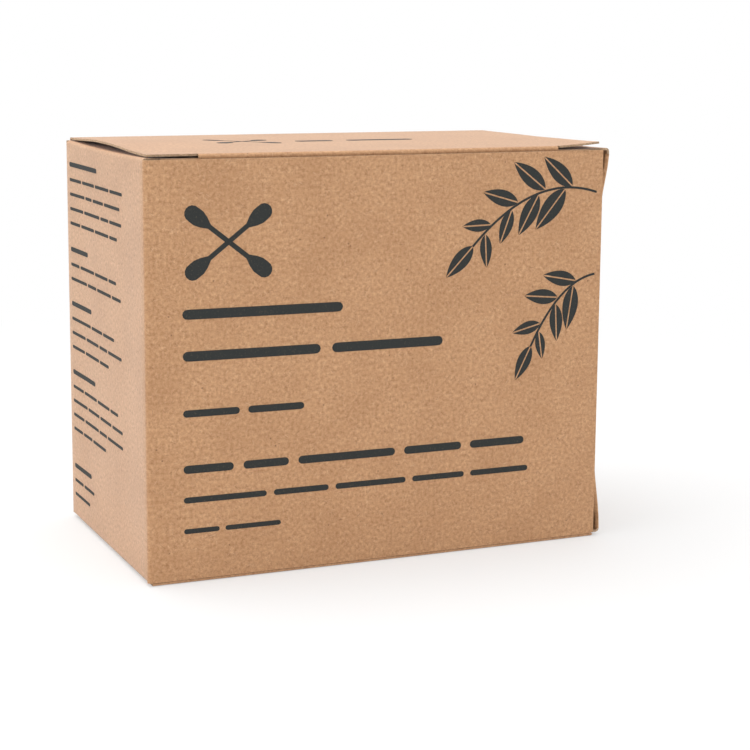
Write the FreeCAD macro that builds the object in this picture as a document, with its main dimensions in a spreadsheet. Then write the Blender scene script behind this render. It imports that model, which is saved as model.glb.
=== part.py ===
"""Paperboard tuck-end carton that holds a bundle of upright cotton swabs.

Frame: millimetres, +Z up, origin at the bottom centre, front wall towards -Y.
The carton is one creased sheet: four walls, a glue flap and four dust flaps. The two closures are its lids:
the top one is creased to the back wall and tucks behind the front wall, and the bottom one is its twin turned
over, creased to the front wall and tucked behind the back wall.
"""

import FreeCAD, Part
import math
import os

import Sketcher
from FreeCAD import Placement, Rotation, Vector

# Driving sizes: alias, value in millimetres (or a plain count), meaning
SIZES = [
    ("box_width", 94.0, "outside width, left to right"),
    ("box_depth", 55.0, "outside depth, front to back"),
    ("board", 0.4, "thickness of the paperboard"),
    ("bend_radius", 0.3, "inside radius of every fold"),
    ("seam_setback", 1.7, "front wall's raw right edge, back from the corner"),
    ("glue_flap", 12.0, "width of the glue flap from the corner"),
    ("glue_flap_bevel", 6.0, "how much shorter the glue flap's free edge is at each end"),
    ("edge_drop", 0.9, "raw wall edge below the closure's outer face, on the tuck side"),
    ("crease_gap", 0.2, "wall edge to the closure's edge at the crease"),
    ("flap_gap", 0.15, "dust flap to closure panel"),
    ("closure_inset", 0.9, "closure panel's side edge, back from the side wall"),
    ("tuck_depth", 12.5, "length of the tuck flap down from its fold"),
    ("tuck_gap", 0.25, "tuck flap's fold to the board in front of it"),
    ("tuck_lean_extra", 0.9, "degrees of lean beyond what just swings clear"),
    ("tuck_inset", 2.5, "tuck flap's side edge, back from the closure's side edge"),
    ("tuck_corner", 7.0, "radius of the tuck flap's two free corners"),
    ("slit_length", 9.5, "length of the slit at each end of the tuck fold"),
    ("slit_width", 0.2, "width of the cut at the slit's inner end"),
    ("lift", 0.7, "height of the top closure's lifted right corner"),
    ("lift_length", 27.0, "length of the lifted edge along the closure's side"),
    ("dust_opening", 28.0, "space between the free edges of two facing dust flaps"),
    ("dust_setback", 1.6, "dust flap's long edge, back from the board beside it"),
    ("dust_corner", 6.0, "cut corner of a dust flap"),
    ("swab_count", 200, "number of swabs"),
    ("swab_length", 74.0, "length of a swab"),
    ("head_room", 2.1, "free height over the swabs"),
    ("tip_diameter", 4.7, "widest diameter of a cotton tip, over its corners"),
    ("tip_length", 13.0, "length of a cotton tip"),
    ("tip_neck", 2.9, "diameter of a tip where it ends on the stick"),
    ("tip_crown", 2.8, "diameter of a tip's end"),
    ("tip_belly", 8.0, "distance from the neck to the widest place"),
    ("tip_spacing", 0.2, "space between neighbouring tips"),
    ("stick_diameter", 2.2, "diameter of a stick"),
    ("stick_cover", 1.5, "cotton beyond the stick's end"),
    ("bundle_gap", 0.3, "space between the swabs and the board round them"),
]

# Derived places, written for the sheet: W and D are half sizes, TOP is the closed height
W = "(sizes.box_width / 2)"
D = "(sizes.box_depth / 2)"
BOARD = "sizes.board"
OUTER_BEND = "(sizes.board + sizes.bend_radius)"
DUST_OUTER = "(sizes.board + sizes.flap_gap)"
TOP = f"(sizes.swab_length + sizes.head_room + 2 * ({DUST_OUTER} + {BOARD}))"
SEAM = f"({W} - sizes.seam_setback)"
CREASE_Y = f"({D} - {BOARD} / 2)"
CREASE_Z = f"({TOP} - {BOARD} / 2)"
CLOSURE_W = f"({W} - sizes.closure_inset)"
FOLD_Y = f"(2 * {BOARD} + sizes.tuck_gap - {D})"
REACH = f"({CREASE_Y} - {FOLD_Y})"
LEAN = f"(asin(sizes.tuck_depth / (2 * {REACH})) + sizes.tuck_lean_extra * 1deg)"
FOLD_START_Y = f"({FOLD_Y} + {OUTER_BEND} * (1 + sin({LEAN})) / cos({LEAN}))"
FOLD_DROP = f"({OUTER_BEND} * (1 + sin({LEAN})))"
EAR_Y = f"({FOLD_START_Y} - (sizes.bend_radius + {BOARD} / 2) * pi / 4)"
SLIT_X = f"({CLOSURE_W} - sizes.slit_length)"

# Regular sections of the swabs
STICK_SIDES = 4
TIP_SIDES = 5


def make_sheet(doc):
    """Writes the driving sizes as plain numbers with aliases."""
    sheet = doc.addObject("Spreadsheet::Sheet", "sizes")
    for row, (alias, value, meaning) in enumerate(SIZES, start=1):
        sheet.set(f"A{row}", meaning)
        sheet.set(f"B{row}", str(value))
        sheet.setAlias(f"B{row}", alias)
    doc.recompute()
    return sheet


def number(sheet, expression):
    """The value of an expression in the sheet's sizes, as a plain number."""
    value = sheet.evalExpression(expression)
    return float(getattr(value, "Value", value))


def new_body(doc, name):
    """A body whose label names its file."""
    body = doc.addObject("PartDesign::Body", name)
    body.Label = name
    return body


def sketch_on(body, role, name, offset="0"):
    """A sketch on one of the body's own origin planes, moved along its normal by an expression."""
    sketch = body.newObject("Sketcher::SketchObject", name)
    plane = next(f for f in body.Origin.OriginFeatures if f.Role == role)
    sketch.AttachmentSupport = [(plane, "")]
    sketch.MapMode = "FlatFace"
    sketch.setExpression("AttachmentOffset.Base.z", f"({offset}) * 1mm")
    return sketch


def bind(sketch, kind, geometry, point, expression, sheet):
    """Fixes one coordinate of a sketch point to an expression."""
    value = number(sheet, expression)
    index = sketch.addConstraint(Sketcher.Constraint(kind, -1, 1, geometry, point, value))
    sketch.setExpression(f"Constraints[{index}]", expression)


def draw_polygon(sketch, sheet, points):
    """Adds a closed outline. A point is a pair of expressions, and a radius if its right angle is round."""
    ends = [corner_ends(sheet, points, index) for index in range(len(points))]
    places = [[Vector(number(sheet, x), number(sheet, y), 0) for x, y in pair] for pair in ends]
    lines = []
    for index in range(len(points)):
        following = (index + 1) % len(points)
        segment = Part.LineSegment(places[index][1], places[following][0])
        line = sketch.addGeometry(segment, False)
        lines.append(line)
        for point, (x, y) in ((1, ends[index][1]), (2, ends[following][0])):
            if point == 1 or len(points[following]) == 3:
                bind(sketch, "DistanceX", line, point, x, sheet)
                bind(sketch, "DistanceY", line, point, y, sheet)
    for index, point in enumerate(points):
        arriving, leaving = lines[index - 1], lines[index]
        if len(point) == 2:
            sketch.addConstraint(Sketcher.Constraint("Coincident", arriving, 2, leaving, 1))
        else:
            draw_corner(sketch, sheet, arriving, leaving, places[index], point)


def corner_ends(sheet, points, index):
    """Where the outline's two sides end at a corner: the corner itself, or where its arc begins and ends."""
    x, y = points[index][:2]
    if len(points[index]) == 2:
        return [(x, y), (x, y)]
    ends = []
    for neighbour in (points[index - 1], points[(index + 1) % len(points)]):
        away_x = number(sheet, neighbour[0]) - number(sheet, x)
        away_y = number(sheet, neighbour[1]) - number(sheet, y)
        step = [0 if abs(away) < 1e-6 else math.copysign(1, away) for away in (away_x, away_y)]
        ends.append(tuple(f"{c} + {s:.0f} * {points[index][2]}" for c, s in zip((x, y), step)))
    return ends


def draw_corner(sketch, sheet, arriving, leaving, ends, point):
    """Joins two sides of an outline by a tangent arc with a bound radius."""
    corner = Vector(number(sheet, point[0]), number(sheet, point[1]), 0)
    centre = ends[0] + ends[1] - corner
    middle = centre + (corner - centre).normalize() * number(sheet, point[2])
    arc = sketch.addGeometry(Part.Arc(ends[0], middle, ends[1]), False)
    first, second = sorted((1, 2), key=lambda end: sketch.getPoint(arc, end).distanceToPoint(ends[0]))
    sketch.addConstraint(Sketcher.Constraint("Coincident", arriving, 2, arc, first))
    sketch.addConstraint(Sketcher.Constraint("Coincident", leaving, 1, arc, second))
    held = sketch.addConstraint(Sketcher.Constraint("Radius", arc, number(sheet, point[2])))
    sketch.setExpression(f"Constraints[{held}]", point[2])


def draw_circle(sketch, sheet, x, y, radius):
    """Adds a circle with its centre and radius bound to expressions."""
    centre = Vector(number(sheet, x), number(sheet, y), 0)
    circle = Part.Circle(centre, Vector(0, 0, 1), number(sheet, radius))
    index = sketch.addGeometry(circle, False)
    bind(sketch, "DistanceX", index, 3, x, sheet)
    bind(sketch, "DistanceY", index, 3, y, sheet)
    held = sketch.addConstraint(Sketcher.Constraint("Radius", index, number(sheet, radius)))
    sketch.setExpression(f"Constraints[{held}]", radius)


def pad(body, sketch, length, symmetric=False):
    """Adds material to the body along the sketch's normal."""
    feature = body.newObject("PartDesign::Pad", f"{sketch.Name}_pad")
    feature.Profile = sketch
    feature.SideType = "Symmetric" if symmetric else "One side"
    feature.setExpression("Length", f"({length}) * 1mm")
    body.Document.recompute()
    return feature


def pocket(body, sketch, length, symmetric=False):
    """Cuts the body against the sketch's normal, and makes sure that the cut takes something away."""
    before = body.Shape.Volume
    feature = body.newObject("PartDesign::Pocket", f"{sketch.Name}_pocket")
    feature.Profile = sketch
    feature.SideType = "Symmetric" if symmetric else "One side"
    feature.setExpression("Length", f"({length}) * 1mm")
    body.Document.recompute()
    if not body.Shape.Volume < before:
        raise RuntimeError(f"{feature.Name} cuts nothing")
    return feature


def edges_along(shape, axis, places, slack):
    """Names of the straight edges parallel to an axis whose middle lies at one of the places.

    A place is a vector, with ANY for a coordinate that doesn't matter.
    """
    names = []
    for index, edge in enumerate(shape.Edges, start=1):
        if edge.Curve.TypeId != "Part::GeomLine":
            continue
        run = (edge.Vertexes[-1].Point - edge.Vertexes[0].Point).normalize()
        if abs(abs(run.dot(axis)) - 1) > 1e-6:
            continue
        middle = edge.CenterOfMass
        if any(near(middle, place, slack) for place in places):
            names.append(f"Edge{index}")
    return names


def near(point, place, slack):
    """True if every coordinate that the place gives is within the slack of the point's."""
    pairs = zip((point.x, point.y, point.z), (place.x, place.y, place.z))
    return all(math.isnan(there) or abs(here - there) < slack for here, there in pairs)


def fillet(body, name, names, radius):
    """Rounds the named edges of the body's tip."""
    if not names:
        raise RuntimeError(f"{name} finds no edges")
    base = body.Tip
    feature = body.newObject("PartDesign::Fillet", name)
    feature.Base = (base, names)
    feature.setExpression("Radius", f"({radius}) * 1mm")
    body.Document.recompute()
    return feature


ANY = float("nan")
ALONG_X = Vector(1, 0, 0)
SLACK = 0.02


def carton_body(doc, sheet):
    """The folded sheet without its closures: wall ring, seam, side folds, dust flaps and crease strips."""
    body = new_body(doc, "carton_body")
    add_wall_ring(body, sheet)
    add_glue_flap(body, sheet)
    add_crease_strips(body, sheet)
    add_side_walls(body, sheet)
    add_dust_flaps(body, sheet)
    return body


def add_wall_ring(body, sheet):
    """Four walls in plan. The front wall's raw right edge lies on the fold of the right wall."""
    sketch = sketch_on(body, "XY_Plane", "wall_ring", "sizes.edge_drop")
    fold, inside = OUTER_BEND, "sizes.bend_radius"
    outer = [
        (SEAM, f"-{D}"),
        (f"-{W}", f"-{D}", fold),
        (f"-{W}", D, fold),
        (W, D, fold),
        (W, f"{BOARD} - {D}", fold),
        (SEAM, f"{BOARD} - {D}"),
    ]
    inner = [
        (f"{BOARD} - {W}", f"{BOARD} - {D}", inside),
        (f"{BOARD} - {W}", f"{D} - {BOARD}", inside),
        (f"{W} - {BOARD}", f"{D} - {BOARD}", inside),
        (f"{W} - {BOARD}", f"2 * {BOARD} - {D}", inside),
        (f"{SEAM} - {BOARD}", f"2 * {BOARD} - {D}"),
        (f"{SEAM} - {BOARD}", f"{BOARD} - {D}"),
    ]
    draw_polygon(sketch, sheet, outer)
    draw_polygon(sketch, sheet, inner)
    pad(body, sketch, f"{TOP} - 2 * sizes.edge_drop")


def add_glue_flap(body, sheet):
    """The bevelled flap of the right wall, glued behind the front wall."""
    sketch = sketch_on(body, "XZ_Plane", "glue_flap", f"{D} - {BOARD}")
    root = f"({SEAM} - {BOARD} / 2)"
    free = f"({W} - sizes.glue_flap)"
    low = "sizes.edge_drop"
    high = f"({TOP} - sizes.edge_drop)"
    outline = [
        (free, f"{low} + sizes.glue_flap_bevel"),
        (root, low),
        (root, high),
        (free, f"{high} - sizes.glue_flap_bevel"),
    ]
    draw_polygon(sketch, sheet, outline)
    feature = pad(body, sketch, BOARD)
    feature.Reversed = True
    body.Document.recompute()


def add_crease_strips(body, sheet):
    """Wall edges that run up to the two creases: the back wall's top and the front wall's foot."""
    strip = f"(sizes.edge_drop - {BOARD} - sizes.crease_gap)"
    back = sketch_on(body, "XY_Plane", "back_crease_strip", f"{TOP} - sizes.edge_drop")
    draw_polygon(back, sheet, rectangle(f"{OUTER_BEND} - {W}", f"{D} - {BOARD}", f"{W} - {OUTER_BEND}", D))
    pad(body, back, strip)
    front = sketch_on(body, "XY_Plane", "front_crease_strip", f"{BOARD} + sizes.crease_gap")
    draw_polygon(front, sheet, rectangle(f"{OUTER_BEND} - {W}", f"-{D}", SEAM, f"{BOARD} - {D}"))
    pad(body, front, strip)


def rectangle(left, low, right, high):
    """Corners of a rectangle, as pairs of expressions."""
    return [(left, low), (right, low), (right, high), (left, high)]


def add_side_walls(body, sheet):
    """Left and right walls, each folded over at both ends into the root of its dust flaps."""
    low = DUST_OUTER
    high = f"({TOP} - {DUST_OUTER})"
    root = f"({W} - {OUTER_BEND} - {BOARD})"
    inside = f"({W} - {BOARD})"
    fold, within = OUTER_BEND, "sizes.bend_radius"
    outline = [
        (root, low),
        (W, low, fold),
        (W, high, fold),
        (root, high),
        (root, f"{high} - {BOARD}"),
        (inside, f"{high} - {BOARD}", within),
        (inside, f"{low} + {BOARD}", within),
        (root, f"{low} + {BOARD}"),
    ]
    for side, sign in (("left", "-1"), ("right", "1")):
        sketch = sketch_on(body, "XZ_Plane", f"{side}_wall")
        draw_polygon(sketch, sheet, [(f"{sign} * {x}", *rest) for x, *rest in outline])
        pad(body, sketch, f"2 * ({D} - {BOARD} - {OUTER_BEND})", symmetric=True)


def add_dust_flaps(body, sheet):
    """Four dust flaps, two at each end, with cut corners at their free edges."""
    root = f"({W} - {OUTER_BEND})"
    free = "(sizes.dust_opening / 2)"
    side = f"({D} - {BOARD} - sizes.dust_setback)"
    cut = "sizes.dust_corner"
    outline = [
        (root, f"-{side}"),
        (f"{free} + {cut}", f"-{side}"),
        (free, f"{cut} - {side}"),
        (free, f"{side} - {cut}"),
        (f"{free} + {cut}", side),
        (root, side),
    ]
    for end, level in (("lower", DUST_OUTER), ("upper", f"({TOP} - {DUST_OUTER} - {BOARD})")):
        for hand, sign in (("left", "-1"), ("right", "1")):
            sketch = sketch_on(body, "XY_Plane", f"{end}_{hand}_dust_flap", level)
            draw_polygon(sketch, sheet, [(f"{sign} * {x}", y) for x, y in outline])
            pad(body, sketch, BOARD)


def closure(doc, sheet, name, lifted):
    """A closure in the top one's place: panel, crease roll, tuck fold with slits, and tuck flap."""
    body = new_body(doc, name)
    add_closure_section(body, sheet, name)
    cut_slits(body, sheet, name)
    add_ears(body, sheet, name)
    shape_tuck_flap(body, sheet, name)
    if lifted:
        lift_corner(body, sheet, name)
    return body


def add_closure_section(body, sheet, name):
    """Panel and leaning tuck flap as one bent strip, with a round edge at the crease."""
    lean = (f"sin({LEAN})", f"cos({LEAN})")
    end_y = f"({FOLD_Y} + sizes.tuck_depth * {lean[0]})"
    end_z = f"({TOP} - sizes.tuck_depth * {lean[1]})"
    inner_y = f"({FOLD_Y} + {BOARD} * (1 + {lean[0]}) / {lean[1]})"
    section = sketch_on(body, "YZ_Plane", f"{name}_section")
    outline = [
        (CREASE_Y, TOP),
        (FOLD_Y, TOP),
        (end_y, end_z),
        (f"{end_y} + {BOARD} * {lean[1]}", f"{end_z} + {BOARD} * {lean[0]}"),
        (inner_y, f"{TOP} - {BOARD}"),
        (CREASE_Y, f"{TOP} - {BOARD}"),
    ]
    draw_polygon(section, sheet, outline)
    pad(body, section, f"2 * {CLOSURE_W}", symmetric=True)
    roll = sketch_on(body, "YZ_Plane", f"{name}_crease_roll")
    draw_circle(roll, sheet, CREASE_Y, CREASE_Z, f"{BOARD} / 2")
    pad(body, roll, f"2 * {CLOSURE_W}", symmetric=True)
    fold, top, inner, board = (number(sheet, e) for e in (FOLD_Y, TOP, inner_y, BOARD))
    outer_edge = edges_along(body.Shape, ALONG_X, [Vector(ANY, fold, top)], SLACK)
    fillet(body, f"{name}_fold", outer_edge, OUTER_BEND)
    inner_edge = edges_along(body.Shape, ALONG_X, [Vector(ANY, inner, top - board)], SLACK)
    fillet(body, f"{name}_fold_inside", inner_edge, "sizes.bend_radius")


def cut_slits(body, sheet, name):
    """Cuts the tuck fold away at both ends, where the slits part the panel from the flap."""
    sketch = sketch_on(body, "XY_Plane", f"{name}_slits", TOP)
    beyond = f"({CLOSURE_W} + sizes.slit_length)"
    ahead = f"({FOLD_Y} - {OUTER_BEND})"
    draw_polygon(sketch, sheet, rectangle(SLIT_X, ahead, beyond, FOLD_START_Y))
    draw_polygon(sketch, sheet, rectangle(f"-{beyond}", ahead, f"-{SLIT_X}", FOLD_START_Y))
    pocket(body, sketch, FOLD_DROP)


def add_ears(body, sheet, name):
    """The panel's flat ends over the slits, with a raw front edge."""
    sketch = sketch_on(body, "XY_Plane", f"{name}_ears", f"{TOP} - {BOARD}")
    start = f"({SLIT_X} + sizes.slit_width)"
    draw_polygon(sketch, sheet, rectangle(start, EAR_Y, CLOSURE_W, FOLD_START_Y))
    draw_polygon(sketch, sheet, rectangle(f"-{CLOSURE_W}", EAR_Y, f"-{start}", FOLD_START_Y))
    pad(body, sketch, BOARD)


def shape_tuck_flap(body, sheet, name):
    """Narrows the tuck flap and rounds its two free corners."""
    sketch = sketch_on(body, "XZ_Plane", f"{name}_tuck_sides", f"-{FOLD_START_Y}")
    side = f"({CLOSURE_W} - sizes.tuck_inset)"
    beyond = f"({CLOSURE_W} + sizes.tuck_inset)"
    shoulder = f"({TOP} - {FOLD_DROP})"
    below = f"({TOP} - 2 * sizes.tuck_depth)"
    draw_polygon(sketch, sheet, rectangle(side, below, beyond, shoulder))
    draw_polygon(sketch, sheet, rectangle(f"-{beyond}", below, f"-{side}", shoulder))
    pocket(body, sketch, "2 * sizes.tuck_depth", symmetric=True)
    lean = math.radians(number(sheet, LEAN))
    across = Vector(0, math.cos(lean), math.sin(lean))
    x, fold, top, depth, board = (
        number(sheet, e) for e in (side, FOLD_Y, TOP, "sizes.tuck_depth", BOARD)
    )
    corner = Vector(0, fold, top) + Vector(0, math.sin(lean), -math.cos(lean)) * depth + across * (board / 2)
    places = [Vector(sign * x, corner.y, corner.z) for sign in (-1, 1)]
    fillet(body, f"{name}_tuck_corners", edges_along(body.Shape, across, places, SLACK), "sizes.tuck_corner")


def lift_corner(body, sheet, name):
    """Bends the panel's front right corner up about a slanted line from the slit to the side edge."""
    slit, run = "sizes.slit_length", "sizes.lift_length"
    slanted = f"sqrt({slit}^2 + {run}^2)"
    cut = sketch_on(body, "XY_Plane", f"{name}_corner_cut", TOP)
    beyond = f"({CLOSURE_W} + sizes.board)"
    ahead = f"({EAR_Y} - sizes.board)"
    outline = [
        (SLIT_X, EAR_Y),
        (SLIT_X, ahead),
        (beyond, ahead),
        (beyond, f"{EAR_Y} + {run}"),
        (CLOSURE_W, f"{EAR_Y} + {run}"),
    ]
    draw_polygon(cut, sheet, outline)
    pocket(body, cut, BOARD)
    tilted = sketch_on(body, "XY_Plane", f"{name}_lifted_corner")
    gap = "(sizes.slit_width * sizes.lift_length / sizes.slit_length)"
    start = f"(sqrt(sizes.slit_width^2 + {gap}^2))"
    along = f"({slit}^2 / {slanted})"
    aside = f"(-{slit} * {run} / {slanted})"
    first = (
        f"{along} - ({slit} - sizes.slit_width) * {slit} / {slanted}",
        f"{aside} * sizes.slit_width / {slit}",
    )
    outline = [(start, "0"), first, (along, aside), (slanted, "0")]
    draw_polygon(tilted, sheet, outline)
    x, y, top, board = (number(sheet, e) for e in (SLIT_X, EAR_Y, TOP, BOARD))
    line = Vector(number(sheet, slit), number(sheet, run), 0)
    turn = math.degrees(math.atan2(line.y, line.x))
    angle = math.degrees(math.asin(number(sheet, "sizes.lift") / -number(sheet, aside)))
    swing = Rotation(Vector(0, 0, 1), turn).multiply(Rotation(Vector(1, 0, 0), -angle))
    tilted.setExpression("AttachmentOffset.Base.z", None)
    tilted.AttachmentOffset = Placement(Vector(x, y, top - board), swing)
    body.Document.recompute()
    pad(body, tilted, BOARD)


def ring_corners(sides, diameter, height):
    """Corners of a regular polygon that lie on a circle at a height."""
    turns = [2 * math.pi * step / sides for step in range(sides)]
    radius = diameter / 2
    return [Vector(math.cos(turn) * radius, math.sin(turn) * radius, height) for turn in turns]


def faceted_solid(sides, rings):
    """A solid with flat sides through rings of corners, each ring a pair of diameter and height from below."""
    levels = [ring_corners(sides, diameter, height) for diameter, height in rings]
    faces = [Part.Face(Part.makePolygon(level + level[:1])) for level in (levels[0], levels[-1])]
    for lower, upper in zip(levels, levels[1:]):
        for step in range(sides):
            after = (step + 1) % sides
            side = [lower[step], lower[after], upper[after], upper[step], lower[step]]
            faces.append(Part.Face(Part.makePolygon(side)))
    solid = Part.Solid(Part.Shell(faces))
    if solid.Volume < 0:
        solid.reverse()
    return solid


def cotton_tip(sheet):
    """One wound tip, neck down, from the neck through its widest place to the blunt end."""
    rings = [
        (number(sheet, "sizes.tip_neck"), 0),
        (number(sheet, "sizes.tip_diameter"), number(sheet, "sizes.tip_belly")),
        (number(sheet, "sizes.tip_crown"), number(sheet, "sizes.tip_length")),
    ]
    return faceted_solid(TIP_SIDES, rings)


def swab_places(sheet):
    """Centres of the swabs in plan: staggered rows from the front, as many as the count or the room gives."""
    widest = number(sheet, "sizes.tip_diameter")
    pitch = widest + number(sheet, "sizes.tip_spacing")
    row_pitch = pitch * math.sin(math.pi / 3)
    lean = f"sin({LEAN})"
    front = number(sheet, f"{FOLD_Y} + sizes.tuck_depth * {lean} + {BOARD} + sizes.bundle_gap")
    half_width = number(sheet, f"{W} - {BOARD}")
    room = 2 * half_width - widest
    per_row = int(room / pitch) + 1
    rows = int((-2 * front - widest) / row_pitch) + 1
    places = []
    for row in range(rows):
        in_row = per_row - row % 2
        y = (row - (rows - 1) / 2) * row_pitch
        places += [Vector((column - (in_row - 1) / 2) * pitch, y, 0) for column in range(in_row)]
    return places[: int(number(sheet, "sizes.swab_count"))]


def repeated(doc, name, piece, places, placement):
    """One feature that holds a separate copy of the piece at each place."""
    copies = [piece.translated(place) for place in places]
    feature = doc.addObject("Part::Feature", name)
    feature.Label = name
    feature.Shape = Part.makeCompound(copies)
    feature.Placement = placement
    return feature


def swabs(doc, sheet):
    """The bundle: sticks, upper tips and lower tips, standing on the lower dust flaps."""
    places = swab_places(sheet)
    floor = number(sheet, f"{DUST_OUTER} + {BOARD}")
    length = number(sheet, "sizes.swab_length")
    tip_length = number(sheet, "sizes.tip_length")
    cover = number(sheet, "sizes.stick_cover")
    thickness = number(sheet, "sizes.stick_diameter")
    stick = faceted_solid(STICK_SIDES, [(thickness, 0), (thickness, length - 2 * cover)])
    tip = cotton_tip(sheet)
    turned = tip.rotated(Vector(0, 0, 0), Vector(1, 0, 0), 180)
    return [
        repeated(doc, "swab_sticks", stick, places, Placement(Vector(0, 0, floor + cover), Rotation())),
        repeated(
            doc,
            "upper_cotton_tips",
            tip,
            places,
            Placement(Vector(0, 0, floor + length - tip_length), Rotation()),
        ),
        repeated(
            doc,
            "lower_cotton_tips",
            turned,
            places,
            Placement(Vector(0, 0, floor + tip_length), Rotation()),
        ),
    ]


def check(doc, parts):
    """Stops if any feature failed or any sub-part has no valid shape."""
    for item in doc.Objects:
        if "Invalid" in item.State or "Error" in item.State:
            raise RuntimeError(f"{item.Name} failed: {item.State}")
    for item in parts:
        if item.Shape.isNull() or not item.Shape.isValid():
            raise RuntimeError(f"{item.Label} has no valid shape")


def main():
    """Builds the document and writes one file for each sub-part."""
    doc = FreeCAD.newDocument("cotton_swab_box")
    sheet = make_sheet(doc)
    top = closure(doc, sheet, "top_closure", lifted=True)
    bottom = closure(doc, sheet, "bottom_closure", lifted=False)
    bottom.Placement = Placement(Vector(0, 0, number(sheet, TOP)), Rotation(Vector(1, 0, 0), 180))
    parts = [carton_body(doc, sheet), top, bottom]
    parts += swabs(doc, sheet)
    doc.recompute()
    check(doc, parts)
    os.makedirs("parts", exist_ok=True)
    for item in parts:
        item.Shape.exportStep(os.path.join("parts", f"{item.Label}.step"))
        box = item.Shape.BoundBox
        print(item.Label, len(item.Shape.Solids), round(item.Shape.Volume, 1), box)


main()
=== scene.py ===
"""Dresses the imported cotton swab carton: folded board, print, swabs, floor, lights and camera.

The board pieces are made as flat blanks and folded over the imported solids' own places. All lengths are
metres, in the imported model's frame: +Z up, front wall towards -Y, origin at the bottom centre.
"""

import logging
import math
import random
from dataclasses import dataclass, field
from enum import Enum
from functools import cached_property
from typing import Callable, Sequence

import bmesh
import bpy
from mathutils import Matrix, Vector


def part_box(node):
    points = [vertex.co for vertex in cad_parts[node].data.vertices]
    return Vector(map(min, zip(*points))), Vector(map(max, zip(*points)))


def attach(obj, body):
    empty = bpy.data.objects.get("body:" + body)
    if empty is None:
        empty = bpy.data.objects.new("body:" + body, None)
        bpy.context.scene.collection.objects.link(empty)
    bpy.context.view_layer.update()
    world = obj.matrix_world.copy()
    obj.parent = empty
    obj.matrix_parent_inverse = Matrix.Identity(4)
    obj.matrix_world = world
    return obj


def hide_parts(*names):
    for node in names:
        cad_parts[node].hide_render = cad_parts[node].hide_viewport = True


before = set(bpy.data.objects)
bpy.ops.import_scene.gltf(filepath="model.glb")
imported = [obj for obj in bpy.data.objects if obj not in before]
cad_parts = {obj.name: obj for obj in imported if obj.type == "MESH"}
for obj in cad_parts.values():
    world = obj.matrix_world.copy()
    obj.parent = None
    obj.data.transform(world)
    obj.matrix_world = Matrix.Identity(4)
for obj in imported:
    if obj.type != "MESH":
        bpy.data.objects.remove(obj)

LOG = logging.getLogger("cotton_swab_box")
MM = 0.001
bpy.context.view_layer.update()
CREASE_INDEX = 2

Point = tuple[float, float]
Station = tuple[str, float, float]
Colour = tuple[float, float, float, float]


def tone(red: int, green: int, blue: int) -> Colour:
    """Turns a screen colour into the linear one that a shader takes.

    Args:
        red: Red, from 0 to 255.
        green: Green, from 0 to 255.
        blue: Blue, from 0 to 255.

    Returns:
        The linear colour with an alpha of 1.
    """
    linear = []
    for channel in (red, green, blue):
        share = channel / 255
        linear.append(share / 12.92 if share <= 0.04045 else ((share + 0.055) / 1.055) ** 2.4)
    return linear[0], linear[1], linear[2], 1.0


def ease(value: float, low: float, high: float) -> float:
    """Rises smoothly from 0 at low to 1 at high.

    Args:
        value: Where to look.
        low: Where the rise begins.
        high: Where it ends.

    Returns:
        A share from 0 to 1.
    """
    share = min(max((value - low) / (high - low), 0.0), 1.0)
    return share * share * (3 - 2 * share)


def steps(start: float, end: float, count: int) -> list[float]:
    """Evenly spaced values from start to end, both included.

    Args:
        start: The first value.
        end: The last value.
        count: How many gaps lie between the values.

    Returns:
        One more value than there are gaps.
    """
    return [start + (end - start) * index / count for index in range(count + 1)]


class Slot(Enum):
    """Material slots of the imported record."""

    BOARD = "kraft_board"
    STICK = "bamboo"
    COTTON = "cotton"


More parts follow.
